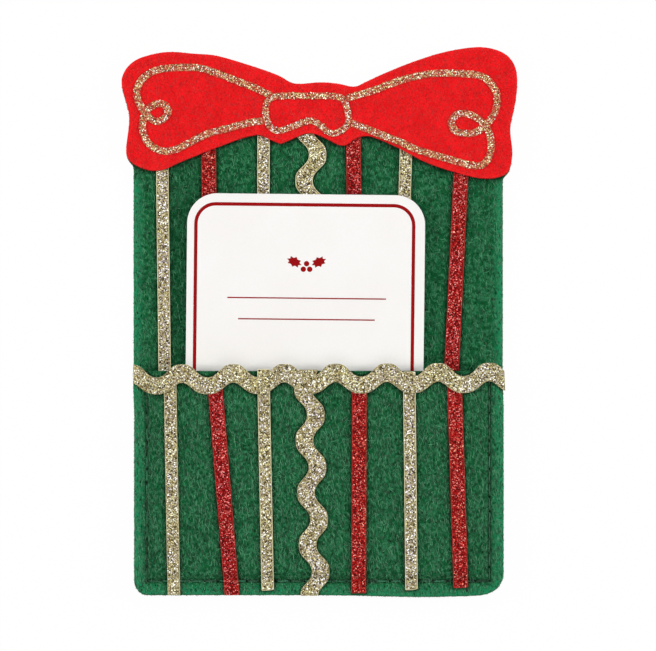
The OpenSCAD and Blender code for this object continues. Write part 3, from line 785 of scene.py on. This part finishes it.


# warm: how far each colour channel drifts from zone to zone; colours: share and colour, in this and the
# palettes below the palest of them a painted glint of flakes that catch the light
goldFlakes = {"perArea": 12 / mm ** 2, "margin": (0.2 * mm, 0.34 * mm), "tilt": 18,
              "size": (0.14 * mm, 0.25 * mm), "height": (0.0, 0.1 * mm), "brightness": (0.85, 1.12),
              "zone": 3.4 * mm, "zoneSkew": 1.3, "warm": (0.01, 0.015, -0.07),
              "colours": [(0.24, linear(255, 253, 244)), (0.2, linear(208, 197, 140)),
                          (0.2, linear(184, 170, 156)), (0.16, linear(134, 116, 70)),
                          (0.2, linear(66, 54, 36))]}
redFlakes = {**goldFlakes, "perArea": 15 / mm ** 2, "margin": (0.12 * mm, 0.26 * mm),
             "size": (0.12 * mm, 0.21 * mm),
             "colours": [(0.08, linear(252, 164, 152)), (0.22, linear(220, 104, 97)),
                         (0.2, linear(196, 36, 32)), (0.26, linear(150, 8, 9)), (0.24, linear(80, 1, 1))]}
goldBack = [n for n in backStrips if "red" not in n]
redBack = [n for n in backStrips if "red" in n]
goldPocket = [n for n in pocketStrips if "red" not in n]
redPocket = [n for n in pocketStrips if "red" in n]
for name, sheets, look, covers, slot in [
    ("goldFlakesBack", goldBack, {**goldFlakes, "seed": 21}, ["bow", "pocket_panel"], "gold_glitter"),
    ("redFlakesBack", redBack, {**redFlakes, "seed": 22}, ["bow", "pocket_panel"], "red_glitter"),
    ("goldFlakesPocket", goldPocket, {**goldFlakes, "seed": 23}, ["mouth_ricrac"], "gold_glitter"),
    ("redFlakesPocket", redPocket, {**redFlakes, "seed": 24}, ["mouth_ricrac"], "red_glitter"),
    ("mouthFlakes", ["mouth_ricrac"], {**goldFlakes, "seed": 25}, [], "gold_glitter"),
]:
    finishPiece(sprinkle(name, sheets, look, covers), flakeMaterial)

# the glitter on the bow lies on a low bead of glue
lineFlakes = {**goldFlakes, "perArea": 10 / mm ** 2, "margin": (0.02 * mm, 0.34 * mm),
              "size": (0.12 * mm, 0.22 * mm), "height": (0.0, 0.05 * mm),
              "colours": [(0.24, linear(255, 248, 226)), (0.24, linear(206, 188, 128)),
                          (0.18, linear(168, 142, 96)), (0.2, linear(92, 56, 34)),
                          (0.08, linear(226, 204, 196)), (0.06, linear(214, 60, 46))]}
for seed, node in enumerate(bowLines, 26):
    line = sprinkle("bowFlakes" + node.split("_")[-1].title(), [node], {**lineFlakes, "seed": seed})
    finishPiece(line, flakeMaterial)


# the sheet or glue under the flakes, which shows along its cut edges
def sheetMaterial(name, look):
    material, tree, shader = newMaterial(name)
    grains = addNode(tree, "ShaderNodeTexVoronoi", {"Vector": addPlace(tree), "Scale": 1 / look["grain"]})
    mark = addNode(tree, "ShaderNodeSeparateColor", {0: grains.outputs["Color"]}).outputs[0]
    colour = addMix(tree, addRange(tree, mark, *look["darkRange"]), look["dark"], look["body"])
    colour = addMix(tree, addRange(tree, mark, *look["lightRange"]), colour, look["light"])
    colour = addMix(tree, addMark(tree, "cut"), colour, look["cut"])
    tree.links.new(colour, shader.inputs["Base Color"])
    sockets = {"Roughness": look["roughness"], "Specular IOR Level": look["gloss"]}
    finishShader(tree, shader, sockets, mark, look["bump"], look["relief"])
    return material


sheetGrain = {"grain": 0.2 * mm, "darkRange": (0.15, 0.85), "lightRange": (0.8, 0.95), "roughness": 0.45,
              "bump": 0.5, "relief": 0.03 * mm}
goldSheet = sheetMaterial("goldSheet", {
    **sheetGrain, "dark": linear(104, 92, 58), "body": linear(184, 172, 120),
    "light": linear(236, 230, 198), "cut": linear(228, 220, 178), "gloss": 0.4,
})
redSheet = sheetMaterial("redSheet", {
    **sheetGrain, "dark": linear(84, 2, 3), "body": linear(172, 12, 12),
    "light": linear(212, 80, 72), "cut": linear(182, 52, 46), "gloss": 0.1,
})
glueBead = sheetMaterial("glueBead", {
    **sheetGrain, "grain": 0.22 * mm, "dark": linear(150, 24, 22), "body": linear(190, 92, 60),
    "light": linear(220, 176, 128), "cut": linear(212, 34, 34), "gloss": 0.4,
})
# angles in degrees: less is flat, more is an edge; steep: upward share of a cut side
edgeRoll = {"strip": 0.15 * mm, "bead": 0.1 * mm, "flatAngle": 0.5, "edgeAngle": 40, "steep": 0.9,
            "cutReach": 2}


# bevel the edges of a sheet and mark its cut sides
def rollEdges(node, obj, material, width):
    rim = outlineTree(topOf([node]))
    editAll(obj)
    bpy.ops.mesh.dissolve_limited(angle_limit=math.radians(edgeRoll["flatAngle"]))
    backToObject()
    applyModifier(obj, "BEVEL", width=width, segments=1, limit_method="ANGLE",
                  angle_limit=math.radians(edgeRoll["edgeAngle"]))
    away = awayFrom(rim, [face.center for face in obj.data.polygons])
    isSteep = np.array([abs(face.normal.z) < edgeRoll["steep"] for face in obj.data.polygons])
    writeMark(obj, "cut", isSteep & (away < edgeRoll["cutReach"] * width), "FACE")
    finishPiece(obj, material, replaces=[node])


for node, obj in stripCopies.items():
    sheet, slot = (redSheet, "red_glitter") if "red" in node else (goldSheet, "gold_glitter")
    rollEdges(node, obj, sheet, edgeRoll["strip"])
for node in bowLines:
    bead = copyOfNode(node, "bowLine" + node.split("_")[-1].title())
    rollEdges(node, bead, glueBead, edgeRoll["bead"])
print("glitter sheets dressed")

# one stitch of two twisted plies that dips into the felt at both ends, repeated along the seam
stitch = {"plies": 2, "plyRadius": 0.085 * mm, "twistRadius": 0.075 * mm, "twist": 1.3 * mm,
          "dip": 0.5 * mm, "steps": 18, "sink": 0.16 * mm, "waver": 0.03, "mapWidth": 0.5 * mm,
          "frontHeight": 3.79 * mm, "backHeight": 0.23 * mm,
          "colours": (linear(14, 66, 38), linear(64, 156, 110))}
stitchLength = seam["pitch"] - seam["gap"]
curve = bpy.data.curves.new("stitch", "CURVE")
curve.dimensions = "3D"
curve.bevel_depth = stitch["plyRadius"]
curve.bevel_resolution = 1
curve.use_fill_caps = True
for ply in range(stitch["plies"]):
    spline = curve.splines.new("POLY")
    spline.points.add(stitch["steps"])
    for k, point in enumerate(spline.points):
        t = 2 * k / stitch["steps"] - 1
        turn = math.tau * (t * stitchLength / 2 / stitch["twist"] + ply / stitch["plies"])
        point.co = (t * stitchLength / 2, stitch["twistRadius"] * math.cos(turn),
                    stitch["twistRadius"] * math.sin(turn) - stitch["dip"] * abs(t) ** 5, 1)
stitchObject = newObject("stitch", curve)
makeActive(stitchObject)
bpy.ops.object.convert(target="MESH")
stitchShape = shapeOf(stitchObject,
                      lambda co, p: (co.x / stitchLength + 0.5, co.y / stitch["mapWidth"] + 0.5))
threadMaterial = toneMaterial("sewingThread", {
    "shadeSize": 0.3 * mm, "shade": 0.75,
    "sockets": {"Roughness": 0.6, "Specular IOR Level": 0.3, "Sheen Weight": 0.2},
})


def sewRow(name, height, side, node, seed):
    rng = np.random.default_rng(seed)
    rows = []
    for (ax, ay), (bx, by) in seamRuns:
        run = math.hypot(bx - ax, by - ay)
        count = round(run / seam["pitch"])
        for i in range(count):
            s = (i + 0.5) / count
            turn = math.atan2(by - ay, bx - ax) + rng.normal(0, stitch["waver"])
            sunk = height - side * rng.uniform(0, stitch["sink"])
            place = Matrix.Translation((ax + (bx - ax) * s, ay + (by - ay) * s, sunk))
            rows.append(np.array(place @ Matrix.Rotation(turn, 4, "Z") @ Matrix.Diagonal((1, side, side, 1))))
    rows = np.array(rows)
    points = np.einsum("nij,pj->npi", rows[:, :3, :3], stitchShape["points"]) + rows[:, None, :3, 3]
    share = rng.random((len(rows), 1))
    colours = np.array(stitch["colours"][0]) * (1 - share) + np.array(stitch["colours"][1]) * share
    obj = meshOfCopies(name, stitchShape, points, colours)
    finishPiece(obj, threadMaterial, replaces=[node])


sewRow("frontStitches", stitch["frontHeight"], 1, "front_thread", 31)
sewRow("backStitches", stitch["backHeight"], -1, "back_thread", 32)

# the card, modelled flat and then laid in the pocket
card = {"size": (53.98 * mm, 85.6 * mm), "thickness": 0.5 * mm, "corner": 6.8 * mm, "edge": 0.07 * mm,
        "foot": (-3.42 * mm, -56.85 * mm, 2.15 * mm), "lean": 1.26588, "turn": 0.62}
inPocket = (Matrix.Translation(card["foot"]) @ Matrix.Rotation(math.radians(card["lean"]), 4, "X")
            @ Matrix.Translation((0, card["size"][1] / 2, 0))
            @ Matrix.Rotation(math.radians(-card["turn"]), 4, "Z"))


def roundedPlate(name, width, height, corner, centre=(0, 0)):
    bpy.ops.mesh.primitive_plane_add(size=1)
    obj = bpy.context.object
    obj.name = obj.data.name = name
    editAll(obj)
    bpy.ops.transform.resize(value=(width, height, 1))
    bpy.ops.mesh.bevel(affect="VERTICES", offset=corner, segments=12)
    bpy.ops.mesh.select_all(action="SELECT")
    bpy.ops.transform.translate(value=(*centre, 0))
    backToObject()
    return obj


def layOnCard(obj, bottom, thickness):
    applyModifier(obj, "SOLIDIFY", thickness=thickness, offset=1)
    obj.data.transform(inPocket @ Matrix.Translation((0, 0, bottom)))


cardLook = {"body": linear(247, 244, 241), "cloud": linear(250, 248, 246), "cloudSize": 18 * mm,
            "fibre": linear(240, 237, 233), "fibreSize": 0.35 * mm, "fibreShare": 0.25,
            "bump": 0.15, "relief": 0.01 * mm,
            "sockets": {"Roughness": 0.5, "Specular IOR Level": 0.3}}
cardMaterial, tree, shader = newMaterial("coatedCard")
place = addPlace(tree)
cloud = addRange(tree, addNoise(tree, place, 1 / cardLook["cloudSize"]).outputs["Fac"], *noiseRange)
fibre = addRange(tree, addNoise(tree, place, 1 / cardLook["fibreSize"], 3.0).outputs["Fac"], *noiseRange)
colour = addMix(tree, cloud, cardLook["body"], cardLook["cloud"])
colour = addMix(tree, addMath(tree, "MULTIPLY", fibre, cardLook["fibreShare"]), colour, cardLook["fibre"])
tree.links.new(colour, shader.inputs["Base Color"])
finishShader(tree, shader, cardLook["sockets"], fibre, cardLook["bump"], cardLook["relief"])

giftCard = roundedPlate("giftCard", *card["size"], card["corner"])
applyModifier(giftCard, "SOLIDIFY", thickness=card["thickness"], offset=1)
applyModifier(giftCard, "BEVEL", width=card["edge"], segments=2, limit_method="ANGLE")
giftCard.data.transform(inPocket)
finishPiece(giftCard, cardMaterial, body="card", replaces=["insert_card"])

inkLook = {"dark": linear(140, 2, 6), "body": linear(158, 5, 10), "speckSize": 0.25 * mm,
           "speckRange": (0.35, 0.65), "sockets": {"Roughness": 0.55, "Specular IOR Level": 0.1}}
inkMaterial, tree, shader = newMaterial("redInk")
speck = addNoise(tree, addPlace(tree), 1 / inkLook["speckSize"]).outputs["Fac"]
speck = addRange(tree, speck, *inkLook["speckRange"])
tree.links.new(addMix(tree, speck, inkLook["dark"], inkLook["body"]), shader.inputs["Base Color"])
finishShader(tree, shader, inkLook["sockets"])

border = {"left": -24.99 * mm, "right": 24.4 * mm, "top": 40.4 * mm, "bottom": -40.4 * mm, "corner": 4.9 * mm,
          "line": 0.78 * mm, "ink": 0.02 * mm}
width, height = border["right"] - border["left"], border["top"] - border["bottom"]
cardBorder = roundedPlate("cardBorder", width + border["line"], height + border["line"], border["corner"],
                          ((border["left"] + border["right"]) / 2, 0))
editAll(cardBorder)
bpy.ops.mesh.inset(thickness=border["line"])
bpy.ops.mesh.delete(type="FACE")
backToObject()
layOnCard(cardBorder, card["thickness"] - border["ink"] / 2, border["ink"])
finishPiece(cardBorder, inkMaterial, body="card")


# a small sprig and two lines to write on, in the place of the print in the photo
cardPrint = {"sprig": (0.2 * mm, 26.2 * mm), "leaf": (1.8 * mm, 1.2 * mm), "leafTurn": (24, 156),
             "leafStart": 1.25 * mm, "leafSteps": 48, "prickles": 4, "prickleDepth": 0.3,
             "berry": 0.62 * mm, "berrySteps": 16, "berryTurn": (90, 210, 330), "berryReach": 1.35,
             "lineWidth": 0.3 * mm,
             "lines": [(0.3 * mm, 19.2 * mm, 36 * mm), (0.3 * mm, 14.4 * mm, 31 * mm)]}
atSprig = Matrix.Translation((*cardPrint["sprig"], 0))
shapes = []
for turn in cardPrint["leafTurn"]:
    bpy.ops.mesh.primitive_circle_add(vertices=cardPrint["leafSteps"], radius=1, fill_type="NGON")
    leaf = bpy.context.object
    outline = readPoints(leaf)
    around = np.arctan2(outline[:, 1], outline[:, 0])
    reach = 1 - cardPrint["prickleDepth"] * np.abs(np.sin(cardPrint["prickles"] * around))
    outline[:, 0] = (np.cos(around) * reach + 1) * cardPrint["leaf"][0] + cardPrint["leafStart"]
    outline[:, 1] = np.sin(around) * reach * cardPrint["leaf"][1]
    writePoints(leaf, outline)
    leaf.data.transform(atSprig @ Matrix.Rotation(math.radians(turn), 4, "Z"))
    shapes.append(leaf)
for turn in cardPrint["berryTurn"]:
    bpy.ops.mesh.primitive_circle_add(vertices=cardPrint["berrySteps"], radius=cardPrint["berry"],
                                      fill_type="NGON")
    berry = bpy.context.object
    reach = Vector((cardPrint["berry"] * cardPrint["berryReach"], 0, 0))
    berry.data.transform(atSprig @ Matrix.Translation(Matrix.Rotation(math.radians(turn), 3, "Z") @ reach))
    shapes.append(berry)
for x, y, length in cardPrint["lines"]:
    bpy.ops.mesh.primitive_plane_add(size=1)
    writeLine = bpy.context.object
    writeSize = Matrix.Diagonal((length, cardPrint["lineWidth"], 1, 1))
    writeLine.data.transform(Matrix.Translation((x, y, 0)) @ writeSize)
    shapes.append(writeLine)
makeActive(shapes[0])
for shape in shapes:
    shape.select_set(True)
bpy.ops.object.join()
printed = bpy.context.object
printed.name = printed.data.name = "cardPrint"
layOnCard(printed, card["thickness"] - border["ink"] / 2, border["ink"])
finishPiece(printed, inkMaterial, body="card")
print("card and its print")
